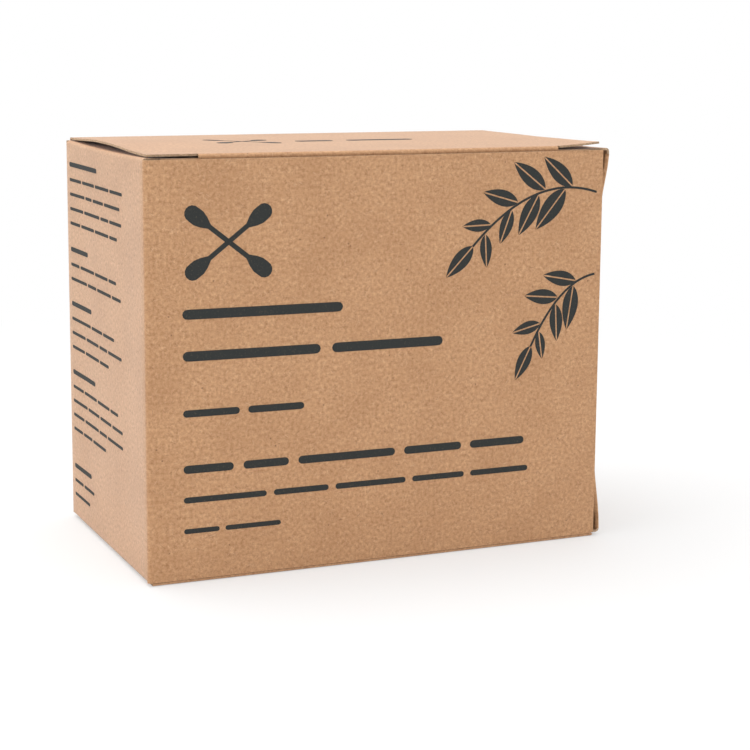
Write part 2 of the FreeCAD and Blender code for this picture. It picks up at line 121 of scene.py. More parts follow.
@dataclass
class Shader:
    """A node tree under construction, with short ways to add and join nodes."""

    material: bpy.types.Material

    @classmethod
    def new(cls, name: str) -> "Shader":
        """Makes a material that holds only a principled shader and its output.

        Args:
            name: The material's name.

        Returns:
            The tree under construction.
        """
        material = bpy.data.materials.new(name)
        material.use_nodes = True
        return cls(material)

    @property
    def surface(self) -> bpy.types.Node:
        """The principled shader."""
        return self.material.node_tree.nodes["Principled BSDF"]

    def add(self, kind: str, **settings: object) -> bpy.types.Node:
        """Adds a node.

        Args:
            kind: The node's type name.
            **settings: Properties to set on it.

        Returns:
            The node.
        """
        node = self.material.node_tree.nodes.new(kind)
        for key, value in settings.items():
            setattr(node, key, value)
        return node

    def link(self, source: bpy.types.NodeSocket, target: bpy.types.NodeSocket) -> None:
        """Joins two sockets.

        Args:
            source: An output.
            target: The input that it feeds.
        """
        self.material.node_tree.links.new(source, target)

    def coordinates(
        self, output: str, turn: float = 0.0, stretch: Sequence[float] = (1, 1, 1)
    ) -> bpy.types.NodeSocket:
        """Coordinates in millimetres, turned about the third axis and then stretched.

        Args:
            output: Which coordinate, such as UV or Object.
            turn: Angle in degrees.
            stretch: Factor along each axis.

        Returns:
            The vector socket.
        """
        source = self.add("ShaderNodeTexCoord")
        turned = self.add("ShaderNodeMapping")
        turned.inputs["Rotation"].default_value = (0, 0, math.radians(turn))
        scaled = self.add("ShaderNodeMapping")
        scaled.inputs["Scale"].default_value = [factor / MM for factor in stretch]
        self.link(source.outputs[output], turned.inputs["Vector"])
        self.link(turned.outputs["Vector"], scaled.inputs["Vector"])
        return scaled.outputs["Vector"]

    def noise(
        self, where: bpy.types.NodeSocket, scale: float, detail: float, rough: float
    ) -> bpy.types.NodeSocket:
        """Fractal noise over the given coordinates.

        Args:
            where: The vector to read.
            scale: Cells for each millimetre.
            detail: Octaves.
            rough: Strength of the finer octaves.

        Returns:
            The noise's value.
        """
        node = self.add("ShaderNodeTexNoise")
        node.inputs["Scale"].default_value = scale
        node.inputs["Detail"].default_value = detail
        node.inputs["Roughness"].default_value = rough
        self.link(where, node.inputs["Vector"])
        return node.outputs["Fac"]

    def remap(
        self, value: bpy.types.NodeSocket, low: float, high: float, to_low: float, to_high: float
    ) -> bpy.types.NodeSocket:
        """Maps a stretch of values onto another, and holds it there outside.

        Args:
            value: The value to map.
            low: Start of the stretch.
            high: End of the stretch.
            to_low: What the start becomes.
            to_high: What the end becomes.

        Returns:
            The mapped value.
        """
        node = self.add("ShaderNodeMapRange", clamp=True)
        for name, amount in zip(("From Min", "From Max", "To Min", "To Max"), (low, high, to_low, to_high)):
            node.inputs[name].default_value = amount
        self.link(value, node.inputs["Value"])
        return node.outputs["Result"]

    def blend(self, share: bpy.types.NodeSocket, first: object, second: object) -> bpy.types.NodeSocket:
        """Mixes two colours, each a socket or a fixed colour.

        Args:
            share: How much of the second.
            first: The first colour.
            second: The second colour.

        Returns:
            The mixed colour.
        """
        node = self.add("ShaderNodeMix", data_type="RGBA")
        self.link(share, node.inputs[0])
        for source, target in ((first, node.inputs[6]), (second, node.inputs[7])):
            if isinstance(source, bpy.types.NodeSocket):
                self.link(source, target)
            else:
                target.default_value = source
        return node.outputs[2]

    def bump(self, height: bpy.types.NodeSocket, strength: float, depth: float) -> None:
        """Gives the surface a relief.

        Args:
            height: The relief's value.
            strength: Share of the relief that shows.
            depth: Its depth in metres.
        """
        node = self.add("ShaderNodeBump")
        node.inputs["Strength"].default_value = strength
        node.inputs["Distance"].default_value = depth
        self.link(height, node.inputs["Height"])
        self.link(node.outputs["Normal"], self.surface.inputs["Normal"])


@dataclass(frozen=True)
class KraftFinish:
    """Brown recycled board: mottled, with pale and dark fibres that lie every way."""

    pale: Colour = tone(226, 181, 139)
    middle: Colour = tone(198, 150, 107)
    deep: Colour = tone(157, 108, 67)
    fibre: Colour = tone(236, 204, 172)
    speck: Colour = tone(104, 70, 46)
    fibre_turns: tuple[float, ...] = (11.0, 58.0, 103.0, 149.0)
    sheen: float = 0.35

    def material(self) -> bpy.types.Material:
        """Builds the material on the sheet's own UV map, so that fibres follow the folds."""
        shader = Shader.new("kraft_face")
        flat = shader.coordinates("UV")
        grain = shader.noise(flat, 1.5, 5.0, 0.72)
        blotch = shader.noise(shader.coordinates("UV", 0.0, (0.8, 1.25, 1)), 0.55, 4.0, 0.6)
        cloud = shader.noise(flat, 0.09, 3.0, 0.5)
        colour = shader.blend(shader.remap(grain, 0.33, 0.68, 0.0, 1.0), self.deep, self.pale)
        colour = shader.blend(shader.remap(blotch, 0.3, 0.7, 0.05, 0.65), colour, self.middle)
        colour = shader.blend(shader.remap(cloud, 0.4, 0.7, 0.0, 0.22), colour, self.deep)
        for turn in self.fibre_turns:
            strand = shader.noise(shader.coordinates("UV", turn, (0.5, 4.2, 1)), 1.0, 1.0, 0.4)
            colour = shader.blend(shader.remap(strand, 0.71, 0.79, 0.0, 0.32), colour, self.fibre)
            dark = shader.noise(shader.coordinates("UV", turn + 31.0, (0.6, 5.0, 1)), 1.0, 1.0, 0.4)
            colour = shader.blend(shader.remap(dark, 0.71, 0.79, 0.0, 0.4), colour, self.speck)
        dots = shader.add("ShaderNodeTexVoronoi")
        dots.inputs["Scale"].default_value = 0.3
        shader.link(flat, dots.inputs["Vector"])
        near_dot = shader.remap(dots.outputs["Distance"], 0.03, 0.06, 0.7, 0.0)
        colour = shader.blend(near_dot, colour, self.speck)
        shader.link(colour, shader.surface.inputs["Base Color"])
        shader.surface.inputs["Roughness"].default_value = 0.72
        shader.surface.inputs["Specular IOR Level"].default_value = 0.42
        shader.surface.inputs["Sheen Weight"].default_value = self.sheen
        shader.surface.inputs["Sheen Roughness"].default_value = 0.45
        shader.bump(grain, 0.35, 0.03 * MM)
        return shader.material


@dataclass(frozen=True)
class RawEdgeFinish:
    """The board's cut edge: pale, greyish and fibrous."""

    pale: Colour = tone(214, 184, 152)
    deep: Colour = tone(150, 122, 96)

    def material(self) -> bpy.types.Material:
        """Builds the material on object coordinates, in fine layers."""
        shader = Shader.new("kraft_raw_edge")
        where = shader.coordinates("Object")
        layers = shader.noise(where, 3.4, 4.0, 0.7)
        colour = shader.blend(shader.remap(layers, 0.35, 0.68, 0.0, 1.0), self.deep, self.pale)
        shader.link(colour, shader.surface.inputs["Base Color"])
        shader.surface.inputs["Roughness"].default_value = 0.92
        shader.bump(layers, 0.5, 0.05 * MM)
        return shader.material


@dataclass(frozen=True)
class InkFinish:
    """Charcoal print that has sunk into the board and lets a little of it through."""

    solid: Colour = tone(42, 45, 44)
    worn: Colour = tone(78, 70, 60)

    def material(self) -> bpy.types.Material:
        """Builds the material on object coordinates."""
        shader = Shader.new("charcoal_print")
        where = shader.coordinates("Object")
        grain = shader.noise(where, 3.0, 4.0, 0.6)
        colour = shader.blend(shader.remap(grain, 0.56, 0.74, 0.0, 0.8), self.solid, self.worn)
        shader.link(colour, shader.surface.inputs["Base Color"])
        shader.surface.inputs["Roughness"].default_value = 0.7
        shader.surface.inputs["Specular IOR Level"].default_value = 0.3
        return shader.material


@dataclass(frozen=True)
class BambooFinish:
    """Split bamboo: straw yellow with fine lengthwise grain and a few darker lines."""

    pale: Colour = tone(240, 218, 170)
    deep: Colour = tone(206, 170, 112)

    def material(self) -> bpy.types.Material:
        """Builds the material on object coordinates stretched along the sticks."""
        shader = Shader.new("split_bamboo")
        where = shader.coordinates("Object", 0.0, (1, 1, 0.06))
        grain = shader.noise(where, 2.4, 5.0, 0.65)
        stems = shader.noise(shader.coordinates("Object", 0.0, (1, 1, 0.01)), 0.22, 1.0, 0.5)
        colour = shader.blend(shader.remap(grain, 0.32, 0.7, 0.0, 1.0), self.deep, self.pale)
        colour = shader.blend(shader.remap(stems, 0.4, 0.65, 0.0, 0.4), colour, self.deep)
        shader.link(colour, shader.surface.inputs["Base Color"])
        shader.surface.inputs["Roughness"].default_value = 0.55
        shader.bump(grain, 0.4, 0.05 * MM)
        return shader.material


@dataclass(frozen=True)
class CottonFinish:
    """Wound cotton: white, soft and slightly fluffy."""

    pale: Colour = tone(250, 250, 249)
    shade: Colour = tone(226, 226, 224)

    def material(self) -> bpy.types.Material:
        """Builds the material on object coordinates, wound round the heads."""
        shader = Shader.new("wound_cotton")
        where = shader.coordinates("Object", 0.0, (1, 1, 2.2))
        fluff = shader.noise(where, 1.5, 6.0, 0.7)
        colour = shader.blend(shader.remap(fluff, 0.34, 0.62, 0.0, 1.0), self.shade, self.pale)
        shader.link(colour, shader.surface.inputs["Base Color"])
        shader.surface.inputs["Roughness"].default_value = 0.95
        shader.surface.inputs["Sheen Weight"].default_value = 0.5
        shader.surface.inputs["Sheen Roughness"].default_value = 0.6
        shader.bump(fluff, 0.6, 0.12 * MM)
        return shader.material


@dataclass
class Finishes:
    """Every material of the object, made once."""

    kraft: bpy.types.Material = field(default_factory=lambda: KraftFinish().material())
    edge: bpy.types.Material = field(default_factory=lambda: RawEdgeFinish().material())
    ink: bpy.types.Material = field(default_factory=lambda: InkFinish().material())
    bamboo: bpy.types.Material = field(default_factory=lambda: BambooFinish().material())
    cotton: bpy.types.Material = field(default_factory=lambda: CottonFinish().material())


@dataclass(frozen=True)
class Board:
    """Sizes of the folded sheet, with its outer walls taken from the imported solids."""

    thickness: float = 0.4 * MM
    bend: float = 0.7 * MM
    bow: float = 0.9 * MM
    seam_setback: float = 1.7 * MM
    edge_drop: float = 0.9 * MM
    crease_gap: float = 0.2 * MM
    glue_flap: float = 12.0 * MM
    cave_in: float = 1.45 * MM

    @cached_property
    def half_width(self) -> float:
        """Half of the outside width."""
        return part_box("carton_body")[1].x

    @cached_property
    def half_depth(self) -> float:
        """Half of the outside depth."""
        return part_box("carton_body")[1].y

    @cached_property
    def flap_level(self) -> float:
        """Height of the upper dust flaps' outer face."""
        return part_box("carton_body")[1].z

    @cached_property
    def top(self) -> float:
        """Height of the closed top panel's outer face."""
        return self.flap_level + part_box("carton_body")[0].z

    @cached_property
    def seam(self) -> float:
        """Where the front wall's raw right edge stands."""
        return self.half_width - self.seam_setback

    @cached_property
    def corner_front(self) -> float:
        """Where the front wall stands at its two ends, behind its bowed middle."""
        return self.bow - self.half_depth

    def arch(self, across: float) -> float:
        """Tells how near the middle of the front or back wall a place is.

        Args:
            across: Place from left to right.

        Returns:
            1 in the middle and 0 at the folds.
        """
        return 1 - (across / (self.half_width - self.bend)) ** 2

    def front(self, across: float, height: float) -> float:
        """How far forward the bowed front wall stands.

        Args:
            across: Place from left to right.
            height: Place above the ground.

        Returns:
            The wall's Y.
        """
        share = 0.15 + 0.85 * ease(height, 0.0, 0.8 * self.top)
        return self.corner_front - self.bow * share * self.arch(across)

    def back(self, across: float, height: float) -> float:
        """Where the back wall stands, a little hollow at mid height.

        Args:
            across: Place from left to right.
            height: Place above the ground.

        Returns:
            The wall's Y.
        """
        hollow = ease(height, 0, 9 * MM) * ease(self.top - height, 0, 9 * MM)
        return self.half_depth - 0.3 * MM * self.arch(across) * hollow

    def left(self, depth: float, height: float) -> float:
        """Where the left wall stands, a little behind its folds.

        Args:
            depth: Place from front to back.
            height: Place above the ground.

        Returns:
            The wall's X.
        """
        border = min(depth - self.corner_front, self.half_depth - depth) - self.bend
        hollow = ease(height, 1 * MM, 12 * MM) * ease(self.top - height, 1 * MM, 12 * MM)
        set_in = 0.06 * MM * ease(border, 0, 2 * MM) * ease(min(height, self.top - height), 0, 2 * MM)
        return -self.half_width + set_in + 0.25 * MM * ease(border, 0, 14 * MM) * hollow

    def right(self, depth: float, height: float) -> float:
        """The right wall's X: it flares at the top and foot of the glued seam.

        Args:
            depth: Place from front to back.
            height: Place above the ground.

        Returns:
            The wall's X.
        """
        top_flare = ease(self.top - height, 0.6 * MM, 13 * MM)
        foot_flare = 0.07 + 0.93 * ease(height, 1 * MM, 18 * MM)
        nearness = 1 - 0.7 * ease(depth, -self.half_depth, self.half_depth)
        return self.half_width - self.cave_in * top_flare * foot_flare * nearness

    def glued(self, height: float) -> float:
        """Tells where the seam's glue holds.

        Args:
            height: Place above the ground.

        Returns:
            1 where it holds, and 0 at the seam's two open ends.
        """
        return ease(min(height, self.top - height), 2 * MM, 16 * MM)


def new_object(
    name: str, mesh: bmesh.types.BMesh, materials: Sequence[bpy.types.Material]
) -> bpy.types.Object:
    """Turns a finished bmesh into an object of the scene.

    Args:
        name: The object's name.
        mesh: The bmesh, which is freed.
        materials: Its materials in slot order.

    Returns:
        The object.
    """
    data = bpy.data.meshes.new(name)
    mesh.to_mesh(data)
    mesh.free()
    for material in materials:
        data.materials.append(material)
    made = bpy.data.objects.new(name, data)
    bpy.context.scene.collection.objects.link(made)
    return made


def fold_grid(
    mesh: bmesh.types.BMesh,
    columns: Sequence[object],
    rows: Sequence[object],
    place: Callable[[object, object], Vector],
    flat: Callable[[object, object], Point],
) -> None:
    """Adds a flat grid of board and folds it into place, with the flat sheet kept as its UV map.

    Args:
        mesh: The mesh to add to.
        columns: What each column of points stands for.
        rows: What each row of points stands for.
        place: Gives a point's folded place.
        flat: Gives a point's place on the flat sheet.
    """
    uv = mesh.loops.layers.uv.verify()
    wide, high = len(columns) - 1, len(rows) - 1
    made = bmesh.ops.create_grid(mesh, x_segments=wide, y_segments=high, size=1.0)["verts"]
    sheet_place = {}
    for point in made:
        column = columns[round((point.co.x + 1) / 2 * wide)]
        row = rows[round((point.co.y + 1) / 2 * high)]
        sheet_place[point] = flat(column, row)
        point.co = place(column, row)
    for face in {face for point in made for face in point.link_faces}:
        face.smooth = True
        for loop in face.loops:
            loop[uv].uv = sheet_place[loop.vert]


def sharpen_raw_edges(mesh: bmesh.types.BMesh) -> None:
    """Keeps the sheet's smooth shading off its raw edges."""
    for edge in mesh.edges:
        edge.smooth = not edge.is_boundary


def mark_crease(mesh: bmesh.types.BMesh, on_crease: Callable[[Vector], bool]) -> None:
    """Gives the faces beside a hinge crease the slot whose rim is the board's own face.

    Args:
        mesh: The sheet.
        on_crease: Tells from a face's centre whether it lies beside the crease.
    """
    for face in mesh.faces:
        if on_crease(face.calc_center_median()):
            face.material_index = CREASE_INDEX


def board_object(
    name: str, mesh: bmesh.types.BMesh, finishes: Finishes, thickness: float
) -> bpy.types.Object:
    """Turns a folded sheet into a piece with its thickness inwards and pale raw edges, but for the creases.

    Args:
        name: The piece's name.
        mesh: The folded sheet, which is freed.
        finishes: The object's materials.
        thickness: The board's thickness.

    Returns:
        The piece.
    """
    piece = new_object(name, mesh, [finishes.kraft, finishes.edge, finishes.kraft, finishes.kraft])
    solid = piece.modifiers.new("board_thickness", "SOLIDIFY")
    solid.thickness = thickness
    solid.offset = -1
    solid.material_offset_rim = 1
    return piece


@dataclass
class WallSheet:
    """The folded sheet without its closures: walls, seam, folds and dust flaps."""

    board: Board
    finishes: Finishes
    rise: float = 76.2 * MM
    foot: float = 1.3 * MM
    dust_reach: float = 33.0 * MM
    dust_inset: float = 0.9 * MM
    dust_corner: float = 6.0 * MM
    droop: float = 0.055
    sag: float = 0.3 * MM
    foot_round: float = 0.8 * MM
    plunge: float = 1.5 * MM

    def build(self) -> bpy.types.Object:
        """Builds and dresses the sheet.

        Returns:
            The finished piece, riding on the carton.
        """
        mesh = bmesh.new()
        stations = self.stations()
        heights = steps(self.foot, self.rise, 30)
        self.add_walls(mesh, stations, heights)
        board = self.board
        front_part = [s for s in stations if s[0] in ("front", "front_left")]
        back_part = [s for s in stations if s[0] in ("back_left", "back", "back_right")]
        self.add_walls(mesh, front_part, steps(self.rise, board.top - board.edge_drop, 1))
        self.add_walls(mesh, back_part, steps(self.rise, board.top - board.thickness - board.crease_gap, 1))
        self.add_walls(mesh, front_part, steps(board.thickness + board.crease_gap, self.foot, 4))
        self.add_walls(mesh, back_part, steps(board.edge_drop, self.foot, 1))
        for side in ("left", "right"):
            part = [s for s in stations if s[0] == side]
            self.add_dust_flap(mesh, part, upper=True)
            self.add_dust_flap(mesh, part, upper=False)
        bmesh.ops.remove_doubles(mesh, verts=mesh.verts, dist=0.01 * MM)
        bmesh.ops.recalc_face_normals(mesh, faces=mesh.faces)
        self.face_outwards(mesh)
        sharpen_raw_edges(mesh)
        mark_crease(mesh, self.beside_crease)
        piece = board_object("folded_walls", mesh, self.finishes, board.thickness)
        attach(piece, "carton")
        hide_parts("carton_body")
        LOG.info("%s: %d faces", piece.name, len(piece.data.polygons))
        return piece

    def beside_crease(self, centre: Vector) -> bool:
        """True at the back wall's top and the front wall's foot, where the closures are hinged."""
        straight = abs(centre.x) < self.board.half_width - 2 * MM
        back = centre.z > self.rise and centre.y > 0
        front = centre.z < self.foot and centre.y < self.board.corner_front + self.board.thickness / 2
        return straight and (back or front)

    def face_outwards(self, mesh: bmesh.types.BMesh) -> None:
        """Turns the sheet's printed side out, judged on the left wall."""
        face = min(mesh.faces, key=lambda item: item.calc_center_median().x)
        if face.normal.x > 0:
            bmesh.ops.reverse_faces(mesh, faces=mesh.faces)

    def stations(self) -> list[Station]:
        """Places round the sheet: the wall, how far along it, and the distance on the flat sheet."""
        board = self.board
        width, depth = board.half_width, board.half_depth
        bend, front = board.bend, board.corner_front
        runs = [
            ("front", steps(board.seam, bend - width, 36), 2 * width),
            ("front_left", steps(0, 1, 5), bend * math.pi / 2),
            ("left", steps(front + bend, depth - bend, 24), 2 * depth),
            ("back_left", steps(0, 1, 5), bend * math.pi / 2),
            ("back", steps(bend - width, width - bend, 30), 2 * width),
            ("back_right", steps(0, 1, 5), bend * math.pi / 2),
            ("right", steps(depth - bend, front + board.thickness + bend, 24), 2 * depth),
            ("front_right", steps(0, 1, 5), bend * math.pi / 2),
            ("glue", steps(0, 1, 6), board.glue_flap),
        ]
        made = []
        along = 0.0
        for wall, values, length in runs:
            for index, value in enumerate(values):
                if index or wall == "front":
                    made.append((wall, value, along + length * index / (len(values) - 1)))
            along += length
        return self.with_starts(made)

    def with_starts(self, made: list[Station]) -> list[Station]:
        """Repeats each run's shared first station under its own wall's name."""
        out = []
        starts = {
            "left": self.board.corner_front + self.board.bend,
            "back": self.board.bend - self.board.half_width,
            "right": self.board.half_depth - self.board.bend,
        }
        for index, station in enumerate(made):
            before = made[index - 1] if index else station
            if station[0] != before[0]:
                out.append((station[0], starts.get(station[0], 0.0), before[2]))
            out.append(station)
        return out

    def plan(self, station: Station, height: float) -> Point:
        """Where a station stands in plan.

        Args:
            station: The station.
            height: Place above the ground, which the bowed walls depend on.

        Returns:
            X and Y of the outer face.
        """
        wall, value, _ = station
        board = self.board
        width, depth, bend = board.half_width, board.half_depth, board.bend
        front = board.corner_front
        if wall == "front":
            return value - self.cut_corner(value, height), board.front(value, height)
        if wall == "left":
            return board.left(value, height), value
        if wall == "back":
            return value, board.back(value, height)
        if wall == "right":
            pull = 1 - ease(value, -depth, 0)
            return board.right(value, height), value - (bend - self.seam_bend(height)) * pull
        turn = value * math.pi / 2
        if wall == "front_left":
            return bend - width - bend * math.sin(turn), front + bend - bend * math.cos(turn)
        if wall == "back_left":
            return bend - width - bend * math.cos(turn), depth - bend + bend * math.sin(turn)
        if wall == "back_right":
            edge = board.right(depth - bend, height)
            return edge - bend + bend * math.sin(turn), depth - bend + bend * math.cos(turn)
        seam_front = front + board.thickness
        edge = board.right(seam_front + bend, height)
        bend = self.seam_bend(height)
        if wall == "front_right":
            return edge - bend + bend * math.cos(turn), seam_front + bend - bend * math.sin(turn)
        glued = board.glued(height)
        reach = board.glue_flap * value - self.flap_cut(station, height)
        across = edge - bend - reach
        loose = seam_front + self.plunge * (1 - math.exp(-1.8 * reach / self.plunge))
        held = board.front(across, height) + board.thickness * (1 + 0.1 * value)
        return across, loose + (held - loose) * glued

    def flap_cut(self, station: Station, height: float) -> float:
        """How much the bevelled ends take off the glue flap's reach.

        Args:
            station: The station.
            height: Place above the ground.

        Returns:
            The length taken off, 0 on a wall.
        """
        share = 0.03 + 0.97 * ease(min(height, self.board.top - height), 5 * MM, 19 * MM)
        return self.board.glue_flap * station[1] * (1 - share) if station[0] == "glue" else 0.0

    def seam_bend(self, height: float) -> float:
        """Radius of the right wall's front fold, which is sharper where the seam is open.

        Args:
            height: Place above the ground.

        Returns:
            The outer radius.
        """
        return self.board.bend * (0.25 + 0.75 * self.board.glued(height))

    def cut_corner(self, across: float, height: float) -> float:
        """How far the rounded lower end of the front wall's raw edge is set back.

        Args:
            across: Place from left to right.
            height: Place above the ground.

        Returns:
            The set-back, 0 away from the edge.
        """
        above = height - self.board.thickness - self.board.crease_gap
        into = max(self.foot_round - above, 0.0)
        cut = self.foot_round - math.sqrt(max(self.foot_round**2 - into**2, 0.0))
        return cut * ease(across, self.board.seam - 3 * MM, self.board.seam)

    def add_walls(
        self, mesh: bmesh.types.BMesh, stations: Sequence[Station], heights: Sequence[float]
    ) -> None:
        """Adds a stretch of wall between two heights.

        Args:
            mesh: The mesh to add to.
            stations: The stations that it spans.
            heights: The heights of its rows.
        """
        fold_grid(
            mesh,
            stations,
            heights,
            lambda station, height: Vector((*self.plan(station, height), height)),
            lambda station, height: (station[2] - self.flap_cut(station, height), height),
        )

    def add_dust_flap(self, mesh: bmesh.types.BMesh, stations: Sequence[Station], upper: bool) -> None:
        """Adds a side wall's fold and the dust flap beyond it.

        Args:
            mesh: The mesh to add to.
            stations: The side wall's stations.
            upper: True at the top, false at the foot.
        """
        board = self.board
        start = self.rise if upper else self.foot
        level = board.flap_level if upper else board.top - board.flap_level
        up = 1 if upper else -1
        bend = board.bend
        straight = abs(level - start) - bend
        turn_length = bend * math.pi / 2
        flat_length = self.dust_reach - bend
        rows = [0.0, straight]
        rows += [straight + turn_length * step / 5 for step in range(1, 6)]
        flat_from = straight + turn_length
        rows += [flat_from + run for run in (0.8 * MM, 1.2 * MM)]
        rows += [flat_from + run for run in steps(4 * MM, flat_length, 12)]
        middle = (board.corner_front + board.half_depth) / 2

        def place(station: Station, run: float) -> Vector:
            """Folds one point of the flap."""
            edge, depth = self.plan(station, start)
            inward = -math.copysign(1, edge)
            narrow = self.dust_inset * ease(run, flat_from + 0.8 * MM, flat_from + 1.2 * MM)
            left_over = max(run - (flat_from + flat_length - self.dust_corner), 0.0)
            half = board.half_depth - bend
            share = abs(depth - middle) / half
            moved = depth - math.copysign((narrow + left_over) * share, depth - middle)
            low = self.sag * (1 - share**2) if upper else 0.0
            if run <= straight:
                return Vector((edge, moved, start + up * run * (1 - low / straight)))
            if run <= flat_from + 1e-9:
                turn = (run - straight) / bend
                drop = low + bend * (1 - math.sin(turn))
                return Vector((edge + inward * bend * (1 - math.cos(turn)), moved, level - up * drop))
            beyond = run - straight - turn_length
            low += self.droop * beyond if upper else 0.0
            return Vector((edge + inward * (bend + beyond), moved, level - up * low))

        fold_grid(
            mesh,
            stations,
            rows,
            place,
            lambda station, run: (station[2], start + up * run),
        )


@dataclass
class Closure:
    """A tuck-end closure: panel, crease edge, slit ears, tuck fold and leaning tuck flap."""

    name: str
    node: str
    body: str
    board: Board
    finishes: Finishes
    upturned: bool
    lift: float = 0.7 * MM
    lift_length: float = 27.0 * MM
    slit: float = 9.5 * MM
    slit_cut: float = 0.25 * MM
    tuck: float = 12.5 * MM
    lean: float = math.radians(7.6)
    inset: float = 2.5 * MM
    corner: float = 7.0 * MM
    crown: float = 0.62 * MM
    roll: float = 0.5 * MM
    trim: float = 0.022
    fold_bow: float = 0.7 * MM
    fold_gap: float = 0.2 * MM
    ear_reach: float = 0.39 * MM

    @cached_property
    def half_width(self) -> float:
        """Half of the panel's width."""
        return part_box(self.node)[1].x

    @cached_property
    def crease(self) -> float:
        """Where the panel's crease edge stands, in the top closure's place."""
        return self.board.half_depth

    @cached_property
    def fold_front(self) -> float:
        """The tuck fold's foremost Y at its two ends."""
        return self.board.corner_front + 2 * self.board.thickness + self.fold_gap

    def build(self) -> bpy.types.Object:
        """Builds and dresses the closure.

        Returns:
            The finished piece, riding on its lid.
        """
        mesh = bmesh.new()
        columns = self.columns()
        inner = [x for x in columns if abs(x) <= self.half_width - self.slit + 1e-7]
        left = [x for x in columns if x <= -(self.half_width - self.slit + self.slit_cut) + 1e-7]
        right = [x for x in columns if x >= self.half_width - self.slit + self.slit_cut - 1e-7]
        self.add(mesh, columns, self.panel_rows())
        self.add(mesh, columns, self.roll_rows())
        self.add(mesh, inner, self.fold_rows())
        for ear in (left, right):
            self.add(mesh, ear, self.ear_rows(), ear=True)
        self.add(mesh, self.flap_columns(), self.flap_rows(), flap=True)
        bmesh.ops.remove_doubles(mesh, verts=mesh.verts, dist=0.01 * MM)
        bmesh.ops.recalc_face_normals(mesh, faces=mesh.faces)
        top_face = max(mesh.faces, key=lambda item: item.calc_area())
        if top_face.normal.z < 0:
            bmesh.ops.reverse_faces(mesh, faces=mesh.faces)
        sharpen_raw_edges(mesh)
        mark_crease(mesh, lambda centre: centre.y > self.edge_line(centre.x) - self.roll)
        if self.upturned:
            turn = Matrix.Translation((0, 0, self.board.top)) @ Matrix.Rotation(math.pi, 4, "X")
            bmesh.ops.transform(mesh, matrix=turn, verts=mesh.verts)
        piece = board_object(self.name, mesh, self.finishes, self.board.thickness)
        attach(piece, self.body)
        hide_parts(self.node)
        LOG.info("%s: %d faces", piece.name, len(piece.data.polygons))
        return piece

    def columns(self) -> list[float]:
        """Places across the panel, with one at each end of both slits."""
        start = self.half_width - self.slit
        ear = steps(start + self.slit_cut, self.half_width, 8)
        middle = steps(-start, start, 40)
        return [-x for x in reversed(ear)] + middle + ear

    def flap_columns(self) -> list[float]:
        """Places across the tuck flap, narrower than the panel."""
        start = self.half_width - self.slit
        ear = steps(start, self.half_width - self.inset, 8)[1:]
        middle = steps(-start, start, 40)
        return [-x for x in reversed(ear)] + middle + ear

    @cached_property
    def span(self) -> float:
        """Length of the flat panel, from its crease roll to the tuck fold."""
        return self.crease - self.roll - self.fold_front - self.board.bend

    def panel_rows(self) -> list[float]:
        """Runs over the panel, which are negative, from the crease roll to the tuck fold."""
        return steps(-self.span, 0.0, 28)

    def roll_rows(self) -> list[float]:
        """Runs over the crease's rounded edge."""
        return steps(-self.span - self.roll * math.pi / 2, -self.span, 5)

    def edge_line(self, across: float) -> float:
        """Where the crease edge stands, along the wall that it hangs on."""
        return -self.board.front(across, 0.0) if self.upturned else self.crease

    def fold_rows(self) -> list[float]:
        """Runs over the tuck fold."""
        return steps(0.0, self.board.bend * (math.pi / 2 + self.lean), 7)

    def ear_rows(self) -> list[float]:
        """Runs from the fold's start to the ears' raw edge."""
        return steps(0.0, self.ear_reach, 1)

    def flap_rows(self) -> list[float]:
        """Runs down the tuck flap."""
        start = self.board.bend * (math.pi / 2 + self.lean)
        return [start + value for value in steps(0.0, self.tuck - self.board.bend, 14)]

    def add(
        self,
        mesh: bmesh.types.BMesh,
        columns: Sequence[float],
        rows: Sequence[float],
        ear: bool = False,
        flap: bool = False,
    ) -> None:
        """Adds one stretch of the closure.

        Args:
            mesh: The mesh to add to.
            columns: Places across it.
            rows: Runs along the sheet, 0 at the fold's start.
            ear: True for the flat ends over the slits.
            flap: True for the tuck flap with its rounded corners.
        """
        reach = rows[-1] - rows[0]

        def place(across: float, run: float) -> Vector:
            """Folds one point of the closure."""
            if flap:
                across = self.rounded(across, run - rows[0], reach)
            return self.fold(across, run, ear)

        fold_grid(mesh, columns, rows, place, lambda across, run: (across + 0.5, 0.3 - run))

    def rounded(self, across: float, run: float, reach: float) -> float:
        """Draws the flap's sides in towards its free edge, as quarter circles.

        Args:
            across: Place from left to right.
            run: Distance down the flap.
            reach: The flap's length.

        Returns:
            The place with the sides drawn in.
        """
        into = max(run - (reach - self.corner), 0.0)
        cut = self.corner - math.sqrt(max(self.corner**2 - into**2, 0.0))
        limit = self.half_width - self.inset
        inner = self.half_width - self.slit
        if abs(across) <= inner:
            return across * (1 - cut * 0.15 / limit)
        share = (abs(across) - inner) / (limit - inner)
        return math.copysign(abs(across) - cut * (0.15 + 0.85 * share), across)

